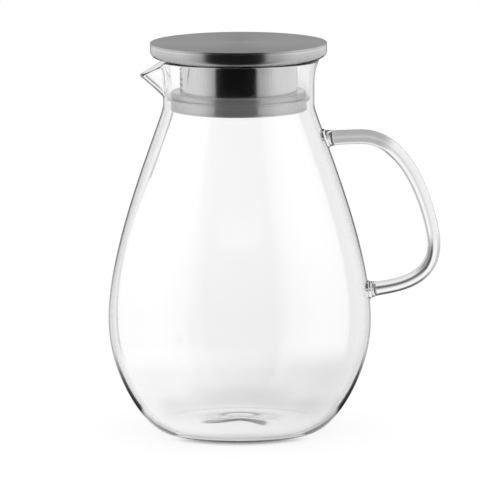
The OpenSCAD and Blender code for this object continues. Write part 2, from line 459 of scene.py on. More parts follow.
@dataclass(frozen=True)
class PolishedGlass:
    """Clear borosilicate: it bends light, casts a pale shadow and greys at grazing angles, where the grey
    is painted shade that darkens its outline.

    In the dome of the base, where base_z, base_r and base_y say so, a ray that has turned more often than
    turns goes on straight, so that none dies inside.
    """

    name: str
    ior: float = 1.47
    clear: float = 0.99
    painted_edge_grey: float = 0.8
    edge_start: float = 0.9
    wave_size: float = 22.0
    wave_stretch: float = 0.35
    wave_strength: float = 0.35
    wave_height: float = 0.02 * MM
    shadow_light: float = 0.93
    turns: int = 5
    base_z: Span = (10 * MM, 8 * MM)
    base_r: Span = (36 * MM, 30 * MM)
    base_y: Span = (9 * MM, 15 * MM)

    def build(self) -> Material:
        """Makes the material.

        Returns:
            The material, with faint waves left by the blowing.
        """
        material, bench = new_material(self.name)
        x, y, z = bench.split(bench.place())
        waves = bench.noise(bench.joined(x, y, z * self.wave_stretch), self.wave_size, 2)
        normal = bench.bump(waves, self.wave_strength, self.wave_height)
        # Painted shade: the colour greys towards grazing angles, which darkens the outline.
        edge = bench.fade(bench.facing(), self.edge_start, 1)
        tint = self.clear + (self.painted_edge_grey - self.clear) * edge
        glass = bench.principled(tint, 0.0, normal, {"IOR": self.ior, "Transmission Weight": 1.0})
        through = bench.clear(self.shadow_light)
        near_axis = bench.fade(bench.length(x, y), *self.base_r) * bench.fade(y, *self.base_y)
        base = bench.fade(z, *self.base_z) * near_axis
        worn = bench.ray("Ray Depth") > self.turns + 0.5
        passing = bench.maths("MAXIMUM", bench.ray("Is Shadow Ray"), worn * base)
        bench.output(bench.mixed(passing, glass, through))
        return material


@dataclass(frozen=True)
class TurnedSteel:
    """Stainless steel with fine brush lines that run round the axis.

    The tones are (height, share) pairs of painted light and shade, and between them the colour goes from
    share to share.
    Inside a given radius the colour is darkened: painted shade inside the tube and on the walls of its
    holes.
    """

    name: str
    colour: float
    roughness: float
    anisotropy: float = 0.7
    line_pitch: float = 0.35 * MM
    line_height: float = 0.01 * MM
    across: bool = False
    painted_light_tones: Stripes = ((0.0, 1.0), (1.0, 1.0))
    painted_shade_r: float = 0.0
    painted_shade_edge: float = 0.2 * MM
    painted_shade_share: float = 0.1

    def build(self) -> Material:
        """Makes the material.

        Returns:
            The material, whose lines are rings on a flat face and level lines on a side.
        """
        material, bench = new_material(self.name)
        place = bench.place()
        x, y, z = bench.split(place)
        radius = bench.length(x, y)
        angle = bench.maths("ARCTAN2", y, x)
        step = (radius if self.across else z) / self.line_pitch
        lines = bench.noise(bench.joined(angle * 1.4, step, 0.0), 1.0, 4)
        long_lines = bench.noise(bench.joined(angle * 0.5, step / 6, 0.0), 1.0, 2)
        cloud = bench.noise(place, 60.0)
        level = self.colour * (0.9 + 0.12 * lines + 0.06 * long_lines + 0.02 * cloud)
        # Painted light and shade: the colour changes with height.
        level = level * bench.stripes(self.painted_light_tones, z, self.painted_light_tones[0][0], self.painted_light_tones[-1][0])
        # Painted shade: darker inside the radius, in the tube and on the walls of its holes.
        if self.painted_shade_r:
            outside = bench.fade(radius, self.painted_shade_r - self.painted_shade_edge, self.painted_shade_r)
            level = level * (self.painted_shade_share + (1 - self.painted_shade_share) * outside)
        rough = self.roughness * (0.8 + 0.25 * lines + 0.15 * cloud)
        normal = bench.bump(lines, 0.25, self.line_height)
        grain = {"Metallic": 1.0, "Anisotropic": self.anisotropy, "Anisotropic Rotation": 0.25}
        bench.output(bench.principled(level, rough, normal, grain))
        return material


@dataclass(frozen=True)
class ClearSilicone:
    """Translucent silicone: a clear rubber with a milky share and a matt skin."""

    name: str
    ior: float = 1.38
    tint: float = 0.99
    roughness: float = 0.11
    milk: float = 0.1
    milk_white: float = 0.93
    milk_roughness: float = 0.5
    grain_height: float = 0.02 * MM
    shadow_light: float = 0.7

    def build(self) -> Material:
        """Makes the material.

        Returns:
            The material.
        """
        material, bench = new_material(self.name)
        grain = bench.noise(bench.place(), 900.0)
        cloud = bench.noise(bench.place(), 70.0)
        normal = bench.bump(grain, 0.2, self.grain_height)
        tint = self.tint + 0.02 * (cloud - 0.5)
        white = self.milk_white + 0.08 * (cloud - 0.5)
        see_through = {"IOR": self.ior, "Transmission Weight": 1.0}
        clear = bench.principled(tint, self.roughness + 0.06 * grain, normal, see_through)
        milky = bench.principled(white, self.milk_roughness, normal, {"IOR": self.ior})
        both = bench.mixed(self.milk + 0.06 * cloud, clear, milky)
        through = bench.clear(self.shadow_light)
        bench.output(bench.mixed(bench.ray("Is Shadow Ray"), both, through))
        return material


@dataclass
class GlassBody:
    """The blown body: domed floor, belly, neck, flared lip and pulled spout, one piece of glass."""

    belly_z: float = 64 * MM
    foot_r: float = 43 * MM
    foot_w: float = 2 * MM
    punt_h: float = 4.2 * MM
    crest_share: float = 0.75
    floor_t: float = 3.2 * MM
    wall_t: float = 2 * MM
    neck_r: float = 43 * MM
    neck_z: float = 187 * MM
    foot_pull: float = 0.31
    low_pull: float = 0.47
    high_pull: float = 0.37
    neck_pull: float = 0.057
    flare_h: float = 17 * MM
    flare_w: float = 2.9 * MM
    spout_reach: float = 12.8 * MM
    spout_drop: float = 9 * MM
    swell_angle: float = 20
    drop_angle: float = 27
    spout_h: float = 22 * MM
    throat_share: float = 0.08
    neck_share: float = 0.35
    rim_trim: float = 0.04 * MM
    skin_steps: int = 600
    curve_steps: int = 40
    high_steps: int = 50
    lip_steps: int = 34
    bead_steps: int = 8
    spout_steps: int = 54
    round_steps: int = 144

    def __post_init__(self) -> None:
        """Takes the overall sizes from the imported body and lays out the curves."""
        low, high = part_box("glass_body")
        self.belly_r = -low.x - SAME_PLACE
        self.rim_z = high.z + self.rim_trim
        self.lip_z = self.neck_z + self.wall_t / 2
        self.mid_r = self.neck_r - self.wall_t / 2
        self.throat_z = self.rim_z - self.spout_h
        rise = self.neck_z - self.belly_z
        self.low = bend(
            (self.foot_r, 0),
            (self.foot_r + self.foot_pull * (self.belly_r - self.foot_r), 0),
            (self.belly_r, self.low_pull * self.belly_z),
            (self.belly_r, self.belly_z),
        )
        self.high = bend(
            (self.belly_r, self.belly_z),
            (self.belly_r, self.belly_z + self.high_pull * rise),
            (self.neck_r, self.neck_z - self.neck_pull * rise),
            (self.neck_r, self.neck_z),
        )
        self.skin = self.low.places(self.skin_steps) + self.high.places(self.skin_steps)[1:]
        self.skin_z = [point.y for point in self.skin]
        flare_z = self.rim_z - self.flare_h
        self.flare = bend(
            (self.mid_r, flare_z),
            (self.mid_r, flare_z + self.flare_h / 2),
            (self.mid_r + self.flare_w / 3, self.rim_z - self.flare_h / 3),
            (self.mid_r + self.flare_w, self.rim_z - self.wall_t / 2),
        )

    def wall_at(self, t: float) -> float:
        """Wall thickness along the lower curve, from the foot at 0 to the belly at 1."""
        return self.wall_t + (self.floor_t - self.wall_t) * (1 - t) ** 2

    def dome(self, radius: float, low: float, high: float) -> Bend:
        """Half of a dome's section, from the middle outwards."""
        return bend((0, high), (0.2 * radius, high), (0.3 * radius, low), (radius, low))

    def outside_r(self, z: float) -> float:
        """Finds the outside radius of the body, below the lip.

        Args:
            z: Height above the table.

        Returns:
            The radius.
        """
        after = bisect.bisect(self.skin_z, z)
        if after >= len(self.skin):
            return self.neck_r
        before, after = self.skin[max(0, after - 1)], self.skin[max(1, after)]
        return before.x + (after.x - before.x) * (z - before.y) / (after.y - before.y)

    def swell(self, angle: float, width: float) -> float:
        """Share of the spout's pull at an angle in degrees from its tip."""
        return math.cos(math.pi / 2 * angle / width) ** 2 if abs(angle) < width else 0.0

    def neck_mid(self, u: float) -> Vector:
        """Middle of the wall of the neck and lip, u from 0 at the seam to 1 at the rim."""
        if u < self.neck_share:
            flare_z = self.flare.start.y
            return Vector((self.mid_r, self.lip_z + (flare_z - self.lip_z) * u / self.neck_share))
        return self.flare.at((u - self.neck_share) / (1 - self.neck_share))

    def lip_mid(self, u: float, angle: float) -> Vector:
        """Middle of the wall of the pulled lip.

        Args:
            u: Place along the lip, 0 at the seam and 1 at the rim.
            angle: Angle in degrees from the spout's tip.

        Returns:
            The point, in three dimensions.
        """
        mid = self.neck_mid(u)
        s = max(0.0, (mid.y - self.throat_z) / (self.rim_z - self.wall_t / 2 - self.throat_z))
        throat = s**2 / (s + self.throat_share) * (1 + self.throat_share)
        pull = self.swell(angle, self.swell_angle)
        r = mid.x * (1 - pull) + pull * (self.mid_r + self.spout_reach * throat)
        z = mid.y - self.spout_drop * self.swell(angle, self.drop_angle) * s
        a = math.radians(angle)
        return Vector((-r * math.cos(a), -r * math.sin(a), z))

    def lip_place(self, u: float, off: float, past: float, angle: float) -> Vector:
        """Finds a point of the lip's skin.

        Args:
            u: Place along the lip, 0 at the seam and 1 at the rim.
            off: Distance from the middle of the wall, towards the outside.
            past: Distance past the rim.
            angle: Angle in degrees from the spout's tip.

        Returns:
            The point.
        """
        u_step = 0.002
        a_step = 0.2
        here = self.lip_mid(u, angle)
        if u < 0.5:
            along = (self.lip_mid(u + u_step, angle) - here).normalized()
        else:
            along = (here - self.lip_mid(u - u_step, angle)).normalized()
        across = (self.lip_mid(u, angle + a_step) - self.lip_mid(u, angle - a_step)).normalized()
        return here + off * across.cross(along).normalized() + past * along

    def outline(self) -> tuple[list[Vector], list[tuple[float, float, float] | None]]:
        """Lays out the body's whole section, from the underside round the rim to the floor.

        Returns:
            The points as (radius, height), and for each the lip's (u, off, past), or None below the lip.
        """
        steps = self.curve_steps
        half = self.wall_t / 2
        under = self.dome(self.foot_r - self.foot_w, 0, self.punt_h).places(steps // 2)
        crest_z = self.punt_h + self.crest_share * self.floor_t
        floor = self.dome(self.foot_r, self.floor_t, crest_z).places(steps // 2)
        outside = self.low.places(steps) + self.high.places(self.high_steps)[1:]
        shares = [i / steps for i in range(steps + 1)]
        inside = [self.low.beside(t, self.wall_at(t)) for t in shares]
        inside += [self.high.beside(t, self.wall_t) for t in shares[1:]]
        up = [(i / self.lip_steps, 1.0, 0.0) for i in range(self.lip_steps + 1)]
        turns = [math.pi * i / self.bead_steps for i in range(1, self.bead_steps)]
        bead = [(1.0, math.cos(turn), math.sin(turn) * (half - self.rim_trim)) for turn in turns]
        down = [(u, -side, past) for u, side, past in reversed(up)]
        lip = [(u, side * (half - self.rim_trim * smoothly(u)), past) for u, side, past in up + bead + down]
        points = under + outside + [self.neck_mid(u) + Vector((off, past)) for u, off, past in lip]
        points += inside[::-1] + floor[-2::-1]
        places = [None] * (len(under) + len(outside)) + lip + [None] * (len(inside) + len(floor) - 1)
        return points, places

    def mesh(self) -> BMesh:
        """Spins the section with finer steps across the spout, then pulls the lip.

        Returns:
            The closed mesh.
        """
        bm = bmesh.new()
        layers = [bm.verts.layers.float.new(name) for name in ("lip_u", "lip_off", "lip_past")]
        points, places = self.outline()
        start = math.radians(180 - self.drop_angle)
        turned = [Vector((p.x * math.cos(start), p.x * math.sin(start), p.y)) for p in points]
        verts, edges = chain(bm, turned)
        for vert, place in zip(verts, places):
            for layer, value in zip(layers, place or (-1, 0, 0)):
                vert[layer] = value
        sector = 2 * self.drop_angle
        turn_outline(bm, verts + edges, [(sector, self.spout_steps), (360 - sector, self.round_steps)])
        for vert in bm.verts:
            u, off, past = (vert[layer] for layer in layers)
            if u >= 0:
                angle = math.degrees(math.atan2(-vert.co.y, -vert.co.x))
                vert.co = self.lip_place(u, off, past, angle)
        for layer in layers:
            bm.verts.layers.float.remove(layer)
        bmesh.ops.recalc_face_normals(bm, faces=bm.faces)
        return bm

    def build(self, glass: Material) -> None:
        """Makes the body and dresses it."""
        finished(self.mesh(), "blown_body", "glass_body", Rides.PITCHER, glass)


@dataclass
class RodHandle:
    """A drawn glass rod, bent to a loop and fused to the body at both ends."""

    body: GlassBody
    rod_d: float = 8.4 * MM
    grip_d: float = 7.3 * MM
    reach: float = 111 * MM
    top_z: float = 168.5 * MM
    grip_z: float = 107 * MM
    low_z: float = 79.3 * MM
    low_arm_angle: float = 12
    straight_share: float = 0.84
    root_in: float = 0.83
    top_pull: float = 0.73
    grip_pull: float = 1.23
    grip_drop: float = 0.23
    low_pull: float = 0.32
    line_steps: int = 400
    halvings: int = 36
    root_flare: float = 1.6 * MM
    root_l: float = 2.2 * MM
    skin_gap: float = 0.02 * MM
    fit_l: float = 5 * MM
    sides: int = 40
    root_steps: int = 14
    root_ease: float = 1.3
    middle_steps: int = 76
    cap_shares: tuple[float, ...] = (0.04, 0.35, 0.7, 0.93)

    def __post_init__(self) -> None:
        """Lays the centre line, keeps what is outside the body and measures along it."""
        body_r, neck_r = self.body.belly_r, self.body.neck_r
        drop = self.rod_d / 4
        straight_x = neck_r + (body_r - neck_r) * self.straight_share
        low_start = Vector((body_r - self.root_in * self.rod_d, self.low_z))
        slope = math.radians(self.low_arm_angle)
        low_way = Vector((math.cos(slope), math.sin(slope)))
        bends = [
            bend(
                (neck_r - 1.5 * self.body.wall_t, self.top_z - drop),
                (neck_r + self.rod_d, self.top_z - drop / 4),
                (straight_x - self.rod_d, self.top_z),
                (straight_x, self.top_z),
            ),
            bend(
                (straight_x, self.top_z),
                (straight_x + self.top_pull * (self.reach - straight_x), self.top_z),
                (self.reach, self.grip_z + self.grip_pull * self.grip_d),
                (self.reach, self.grip_z),
            ),
            bend(
                (self.reach, self.grip_z),
                (self.reach, self.low_z + self.grip_drop * self.grip_d),
                low_start + self.low_pull * (self.reach - low_start.x) * low_way,
                low_start,
            ),
        ]
        line = [point for part in bends for point in part.places(self.line_steps)[1:]]
        self.line = [p for p in line if p.x > self.body.outside_r(p.y)]
        self.lengths = [0.0]
        for a, b in zip(self.line, self.line[1:]):
            self.lengths.append(self.lengths[-1] + (b - a).length)
        self.length = self.lengths[-1]

    def station(self, s: float) -> tuple[Vector, Vector]:
        """Finds the centre line's point and direction.

        Args:
            s: Distance along the line from the upper root.

        Returns:
            The point and a direction of length 1, both in three dimensions.
        """
        k = min(bisect.bisect(self.lengths, s + SAME_PLACE) - 1, len(self.line) - 2)
        share = (s - self.lengths[k]) / (self.lengths[k + 1] - self.lengths[k])
        point = self.line[k].lerp(self.line[k + 1], share)
        before = self.line[max(0, k - 3)]
        after = self.line[min(len(self.line) - 1, k + 4)]
        way = (after - before).normalized()
        return Vector((point.x, 0, point.y)), Vector((way.x, 0, way.y))

    def rod_r(self, s: float, z: float) -> float:
        """Radius of the rod, thinnest at the grip and flared at its roots."""
        away = min(1, abs(z - self.grip_z) / (self.top_z - self.grip_z))
        flare = self.root_flare * math.exp(-min(s, self.length - s) / self.root_l)
        return self.grip_d / 2 + (self.rod_d - self.grip_d) / 2 * away + flare

    def to_skin(self, point: Vector, way: Vector) -> float:
        """Finds how far a point has to move along a direction to lie on the body.

        Args:
            point: A point near the body.
            way: A direction that leads away from the body.

        Returns:
            The distance, below 0 where the point lies outside.
        """
        far = 3 * self.root_flare + self.rod_d
        near = -far
        for _ in range(self.halvings):
            middle = (near + far) / 2
            place = point + middle * way
            if math.hypot(place.x, place.y) < self.body.outside_r(place.z) + self.skin_gap:
                near = middle
            else:
                far = middle
        return near

    def ring(self, bm: BMesh, s: float, share: float = 1.0) -> list[BMEdge]:
        """Adds one ring of the rod, sheared near a root so that it follows the body.

        Args:
            bm: The mesh that gets it.
            s: Distance along the centre line.
            share: Size of the ring beside the rod, below 1 on the fused end faces.

        Returns:
            The ring's edges.
        """
        centre, way = self.station(s)
        side = Vector((0, 1, 0))
        turn = Matrix((side, way.cross(side), way)).transposed().to_4x4()
        radius = share * self.rod_r(s, centre.z)
        verts, edges = circle(bm, self.sides, radius, Matrix.Translation(centre) @ turn)
        from_root = min(s, self.length - s)
        if from_root < self.fit_l:
            at_top = s < self.length / 2
            root, root_way = self.station(0 if at_top else self.length)
            out = root_way if at_top else -root_way
            fade = (1 - from_root / self.fit_l) ** 2
            for vert in verts:
                start = root + (vert.co - centre)
                vert.co += fade * self.to_skin(start, out) * out
        return edges

    def build(self, glass: Material) -> None:
        """Bridges rings along the rod, closes both fused ends and dresses it.

        Args:
            glass: Its finish.
        """
        bm = bmesh.new()
        roots = [self.fit_l * (i / self.root_steps) ** self.root_ease for i in range(self.root_steps + 1)]
        run = self.length - 2 * self.fit_l
        middle = [self.fit_l + run * i / self.middle_steps for i in range(1, self.middle_steps)]
        along = roots + middle + [self.length - s for s in reversed(roots)]
        rings = [self.ring(bm, 0, share) for share in self.cap_shares]
        rings += [self.ring(bm, s) for s in along]
        rings += [self.ring(bm, self.length, share) for share in reversed(self.cap_shares)]
        for a, b in zip(rings, rings[1:]):
            bmesh.ops.bridge_loops(bm, edges=a + b)
        for edges in (rings[0], rings[-1]):
            bmesh.ops.contextual_create(bm, geom=edges)
        bmesh.ops.recalc_face_normals(bm, faces=bm.faces)
        finished(bm, "rod_handle", "glass_handle", Rides.PITCHER, glass, crease=60)


@dataclass
class SteelLid:
    """The lid's hollow disc: a drawn pan closed by a flat brushed plate."""

    corner_r: float = 3.6 * MM
    corner_steps: int = 14
    sheet_t: float = 0.8 * MM
    chamfer: float = 0.25 * MM
    seam: float = 0.08 * MM

    def __post_init__(self) -> None:
        """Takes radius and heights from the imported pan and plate."""
        low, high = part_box("lid_pan")
        plate_low, plate_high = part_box("lid_top_plate")
        self.radius = high.x
        self.under_z = low.z
        self.seam_z = plate_low.z
        self.top_z = plate_high.z

    def build(self, side: Material, top: Material) -> None:
        """Spins the pan and the plate, with a fine seam between them, and dresses them.

        Args:
            side: Finish of the pan.
            top: Finish of the plate.
        """
        r = self.radius
        centre = (r - self.corner_r, self.under_z + self.corner_r)
        rim_z = self.seam_z - self.seam / 4
        pan = [
            (0, self.under_z),
            *corner(centre, self.corner_r, -90, 0, self.corner_steps),
            (r, rim_z - self.seam),
            (r - self.seam, rim_z),
            (r - self.sheet_t, rim_z),
            *corner(centre, self.corner_r - self.sheet_t, 0, -90, self.corner_steps),
            (0, self.under_z + self.sheet_t),
        ]
        plate = [
            (0, self.seam_z),
            (r - self.seam, self.seam_z),
            (r, self.seam_z + self.seam),
            (r, self.top_z - self.chamfer),
            (r - 0.3 * self.chamfer, self.top_z - 0.3 * self.chamfer),
            (r - self.chamfer, self.top_z),
            (r / 2, self.top_z),
            (0, self.top_z),
        ]
        finished(spun(pan), "pressed_pan", "lid_pan", Rides.LID, side)
        finished(spun(plate), "brushed_top", "lid_top_plate", Rides.LID, top)


@dataclass
class PerforatedCollar:
    """The steel tube under the lid: a perforated sheet, rolled up, with a turned-out lip."""

    tube_d: float = 66.9 * MM
    sheet_t: float = 0.8 * MM
    hole_d: float = 2.2 * MM
    rows: int = 5
    columns: int = 7
    row_pitch: float = 3.4 * MM
    column_pitch: float = 3.3 * MM
    hole_sides: int = 20
    plain_columns: int = 76
    plain_heights: tuple[float, ...] = (0.0, 4 * MM, 7 * MM)
    lip_shares: tuple[float, ...] = (0.3, 0.7, 1.0)

    def __post_init__(self) -> None:
        """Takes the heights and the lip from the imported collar."""
        low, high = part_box("strainer_collar")
        self.high_z = high.z
        self.radius = self.tube_d / 2
        self.lip_w = high.y - self.radius
        self.lip_z = low.z + self.sheet_t
        self.first_row_z = self.high_z - self.row_pitch - self.hole_d / 2

    def sheet(self) -> BMesh:
        """Draws the flat sheet column by column and punches the holes.

        Returns:
            The sheet in the XZ plane, with the strainer round x = 0.
        """
        bm = bmesh.new()
        hole_rows = [self.first_row_z - (row - 0.5) * self.row_pitch for row in range(self.rows + 1)]
        plain_rows = [self.lip_z + height for height in self.plain_heights]
        levels = sorted([self.high_z] + hole_rows + plain_rows)
        half = self.columns * self.column_pitch / 2
        plain_step = (2 * math.pi * self.radius - 2 * half) / self.plain_columns
        steps = [self.column_pitch] * self.columns + [plain_step] * self.plain_columns
        verts, edges = chain(bm, [Vector((-half, 0, z)) for z in levels])
        for step in steps:
            verts, edges = grown(bm, edges)
            bmesh.ops.translate(bm, verts=verts, vec=(step, 0, 0))
        for row in range(self.rows):
            for column in range(self.columns):
                x = (column - (self.columns - 1) / 2) * self.column_pitch
                self.punch(bm, Vector((x, 0, self.first_row_z - row * self.row_pitch)))
        return bm

    def punch(self, bm: BMesh, centre: Vector) -> None:
        """Takes out the cell round a hole and bridges it to the hole's circle.

        Args:
            bm: The flat sheet.
            centre: Centre of the hole.
        """
        cell = min(bm.faces, key=lambda face: (face.calc_center_median() - centre).length)
        around = list(cell.edges)
        bmesh.ops.delete(bm, geom=[cell], context="FACES_ONLY")
        upright = Matrix.Translation(centre) @ Matrix.Rotation(math.pi / 2, 4, "X")
        hole = circle(bm, self.hole_sides, self.hole_d / 2, upright)[1]
        bmesh.ops.bridge_loops(bm, edges=around + hole)

    def mesh(self) -> BMesh:
        """Rolls the sheet up and turns its lower edge out.

        Returns:
            The outer skin, whose normals point outwards.
        """
        bm = self.sheet()
        for vert in bm.verts:
            angle = math.pi + vert.co.x / self.radius
            vert.co = Vector((self.radius * math.cos(angle), self.radius * math.sin(angle), vert.co.z))
        bmesh.ops.remove_doubles(bm, verts=bm.verts, dist=10 * SAME_PLACE)
        low = {vert for vert in bm.verts if abs(vert.co.z - self.lip_z) < SAME_PLACE}
        edges = [edge for edge in bm.edges if edge.is_boundary and low.issuperset(edge.verts)]
        for share in self.lip_shares:
            verts, edges = grown(bm, edges)
            for vert in verts:
                vert.co.xy = vert.co.xy.normalized() * (self.radius + self.lip_w * share)
        bmesh.ops.recalc_face_normals(bm, faces=bm.faces)
        highest = max(bm.faces, key=lambda face: face.calc_center_median().z)
        if highest.normal.xy.dot(highest.calc_center_median().xy) < 0:
            bmesh.ops.reverse_faces(bm, faces=bm.faces)
        return bm

    def build(self, steel: Material) -> None:
        """Makes the collar, its wall standing inwards from the skin, and dresses it.

        Args:
            steel: Its finish.
        """
        piece = finished(self.mesh(), "punched_collar", "strainer_collar", Rides.LID, steel)
        wall = piece.modifiers.new("wall", "SOLIDIFY")
        wall.thickness = self.sheet_t
        wall.offset = -1
        wall.use_even_offset = True


@dataclass
class SiliconeRing:
    """The ring that seals the collar in the neck: one broad fin above three fine ribs."""

    body_r: float = 38.5 * MM
    bore_r: float = 33.5 * MM
    recess_r: float = 34.7 * MM
    recess_h: float = 0.85 * MM
    fin_t: float = 0.9 * MM
    fin_root: float = 0.5 * MM
    fin_share: float = 0.66
    rib_w: float = 0.2 * MM
    rib_shares: tuple[float, ...] = (0.11, 0.24, 0.37)

    def __post_init__(self) -> None:
        """Takes the heights and the fin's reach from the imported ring."""
        low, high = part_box("seal_ring")
        self.low_z = low.z
        self.height = high.z - low.z
        self.fin_r = high.y

    def outline(self) -> list[Span]:
        """Lays out the ring's section, with soft fin and ribs.

        Returns:
            The points as (radius, height above the ring's lower face).
        """
        edge = self.fin_t / 2
        rib = [(0, -1), (0.8, -1 / 3), (1, 0), (0.8, 1 / 3), (0, 1)]
        fin = [
            (self.body_r, self.fin_t),
            (self.body_r + self.fin_root, 1.5 * edge),
            (self.fin_r - edge / 3, edge),
            (self.fin_r, edge / 2),
        ]
        fin_z = self.fin_share * self.height
        points = [(self.recess_r, 0), (self.body_r - edge, 0), (self.body_r, edge)]
        for share in self.rib_shares:
            z = share * self.height
            points += [(self.body_r + out * self.rib_w, z + up * edge) for out, up in rib]
        points += [(r, fin_z - up) for r, up in fin]
        points += [(r, fin_z + up) for r, up in reversed(fin)]
        points += [
            (self.body_r, self.height - edge),
            (self.body_r - edge / 3, self.height - edge / 3),
            (self.body_r - edge, self.height),
            (self.bore_r, self.height),
            (self.bore_r, self.recess_h),
            (self.recess_r, self.recess_h),
        ]
        return points

    def build(self, silicone: Material) -> None:
        """Spins the ring and dresses it."""
        bm = spun([(r, self.low_z + height) for r, height in self.outline()])
        finished(bm, "silicone_ring", "seal_ring", Rides.SEAL, silicone)


@dataclass
class PaleFloor:
    """A round pale floor that keeps a faint shadow, has a painted shadow line in front of the foot, and
    ends in white.

    Gloss and glass show it in a grey of its own, and what is mirrored of it ends close round the body.
    """

    radius: float = 0.28
    end_span: Span = (0.6, 0.97)
    drop: float = 0.2 * MM
    seen_glow: float = 0.82
    seen_matt: float = 0.25
    lit_grey: float = 0.85
    shown_grey: float = 0.83
    painted_shadow_depth: float = 0.75

    def __post_init__(self) -> None:
        """Makes the material and finds each point's place on the floor."""
        self.material, self.bench = new_material("pale_floor")
        self.x, self.y, _ = self.bench.split(self.bench.place())
        self.off_axis = self.bench.length(self.x, self.y)
        self.front = self.bench.fade(-self.y, 0.026, 0.040)
        self.shone = self.bench.ray("Glossy Depth") > 0.5

    def shown(self) -> Wire:
        """Finds how bright gloss and glass show the floor.

        Returns:
            The grey, with painted shade: darkest in the arch that the dome of the base bends into view, and
                under the foot.
        """
        # Painted shade and light: seen in gloss and glass, the floor is darker near the foot than far out,
        # darker still in front of it and in an arch seen through the dome of the base, darker towards +X,
        # and darker in front of the body where gloss looks steeply down; gloss sees it lighter behind the
        # body.
        fade, x, y, radius = self.bench.fade, self.x, self.y, self.off_axis
        under = fade(radius, 0.07, 0.04)
        middle = fade(abs(x), 0.06, 0.01)
        painted_far_light = 0.13 * middle * fade(radius, 0.08, 0.145) + 0.1 * fade(radius, 0.14, 0.25)
        level = (self.shown_grey + painted_far_light) * (1 - 2.2 * x) + 0.06 * under
        facing = self.bench.facing()
        left = x + 3 * MM
        off = self.bench.maths("SQRT", left * left + 0.72 * y * y)
        grazed = fade(facing - 2.75 * off + 1.8 * x, 0.688, 0.702)
        arch = grazed * fade(off, 0.0205, 0.0165)
        level = level * (1 - (1.0 - 5 * off) * arch) * (1 - 0.3 * self.front * under)
        aside = abs(self.bench.maths("ARCTAN2", x, -y)) * DEGREES
        painted_steep_shade = fade(facing, 0.5, 0.3) * fade(radius, 0.055, 0.07) * fade(aside, 75, 45)
        level = level * (1 - self.shone * painted_steep_shade)
        return level * (1 + 0.35 * self.shone * fade(y, 0.02, 0.04))

    def build(self) -> None:
        """Lays the floor, which isn't part of the object."""
        bm = bmesh.new()
        bmesh.ops.create_circle(bm, cap_ends=True, segments=96, radius=self.radius)
        bmesh.ops.translate(bm, verts=bm.verts, vec=(0, 0, -self.drop))
        bench, radius, white = self.bench, self.off_axis, grey_colour(1)
        # Painted shadow: the floor that the camera sees is darker in a line just in front of the foot.
        painted_shadow = 1 - self.painted_shadow_depth * self.front * bench.fade(radius, 0.054, 0.041)
        glow = bench.shader("Emission", {"Color": white, "Strength": self.seen_glow * painted_shadow})
        matt = bench.shader("BsdfDiffuse", {"Color": grey_colour(self.seen_matt)})
        seen = bench.shader("AddShader", {0: glow, 1: matt})
        shown = bench.shader("Emission", {"Color": white, "Strength": self.shown()})
        lit = bench.shader("BsdfDiffuse", {"Color": grey_colour(self.lit_grey)})
        solid = bench.mixed(bench.ray("Is Camera Ray"), shown, seen)
        solid = bench.mixed(bench.ray("Is Diffuse Ray"), solid, lit)
        far = bench.fade(radius, *(share * self.radius for share in self.end_span))
        behind = bench.fade(self.y, -0.005, 0.015)
        mirrored = bench.fade(radius + 0.018 * behind, 0.075, 0.09) * self.shone
        gone = bench.maths("MAXIMUM", far, mirrored)
        bench.output(bench.mixed(gone, solid, bench.clear()))
        piece = placed(bm, "pale_floor", self.material)


